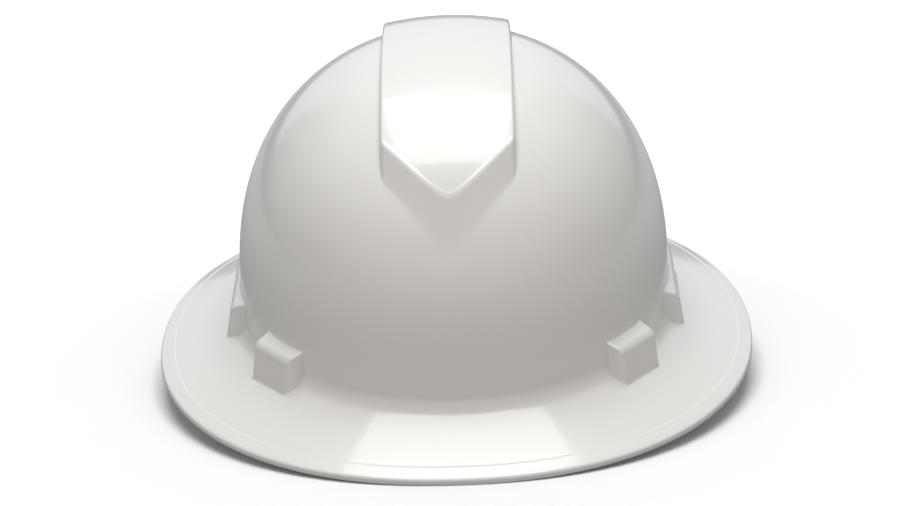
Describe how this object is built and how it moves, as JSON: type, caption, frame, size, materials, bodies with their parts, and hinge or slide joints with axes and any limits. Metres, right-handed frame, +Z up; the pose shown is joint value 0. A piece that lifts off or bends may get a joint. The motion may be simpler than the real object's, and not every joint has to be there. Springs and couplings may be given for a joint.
{
  "type": "full brim hard hat",
  "caption": "Full brim hard hat: ridged shell with key sockets, crossing strap suspension, headband and pads, and a rack and pinion size ratchet with a knob at the nape.",
  "frame": {"origin": "on the plane of symmetry, midway along the dome, at the level of the brim's lower edge", "axes": "+Z up as worn, -Y to the front, +X to the wearer's left"},
  "size_m": [0.29, 0.3224, 0.1854],
  "materials": {
    "shell_plastic": "glossy",
    "suspension_plastic": "satin",
    "band_plastic": "satin",
    "gear_plastic": "natural",
    "webbing": "woven",
    "pad_cloth": "brushed",
    "screw_steel": "plain"
  },
  "bodies": {
    "shell": {"shell": "shell_plastic", "key_front_left": "suspension_plastic", "key_front_right": "suspension_plastic", "key_side_left": "suspension_plastic", "key_side_right": "suspension_plastic", "key_rear_left": "suspension_plastic", "key_rear_right": "suspension_plastic", "crown_strap_side": "webbing", "crown_strap_left": "webbing", "crown_strap_right": "webbing"},
    "band": {"headband": "band_plastic", "brow_pad": "pad_cloth"},
    "nape": {"ratchet_base": "suspension_plastic", "ratchet_cover": "suspension_plastic", "nape_pad": "pad_cloth"},
    "knob": {"knob": "suspension_plastic", "knob_screw": "screw_steel", "pinion": "gear_plastic", "click_spring": "gear_plastic"},
    "tail_left": {"left_tail": "band_plastic"},
    "tail_right": {"right_tail": "band_plastic"}
  },
  "joints": [
    {"name": "height_adjust", "type": "slide", "parent": "shell", "child": "band", "axis": [0, 0, 1], "range_m": [-0.012, 0]},
    {"name": "size_slide", "type": "slide", "parent": "band", "child": "nape", "axis": [0, -1, 0], "range_m": [-0.025, 0.035]},
    {"name": "knob_turn", "type": "hinge", "parent": "nape", "child": "knob", "pos_m": [0, 0.11, -0.014], "axis": [0, 1, 0], "range_deg": [-238.8, 334.3]},
    {"name": "left_tail_turn", "type": "hinge", "parent": "nape", "child": "tail_left", "pos_m": [0, 0.02467, -0.014], "axis": [0, 0, 1], "range_deg": [-25.5, 18.2]},
    {"name": "right_tail_turn", "type": "hinge", "parent": "nape", "child": "tail_right", "pos_m": [0, 0.02467, -0.014], "axis": [0, 0, 1], "range_deg": [-17.8, 24.9]}
  ],
  "couplings": [
    {"joint": "knob_turn", "follows": "size_slide", "rad_per_m": 166.67},
    {"joint": "left_tail_turn", "follows": "size_slide", "rad_per_m": -12.65},
    {"joint": "right_tail_turn", "follows": "size_slide", "rad_per_m": 12.353}
  ]
}
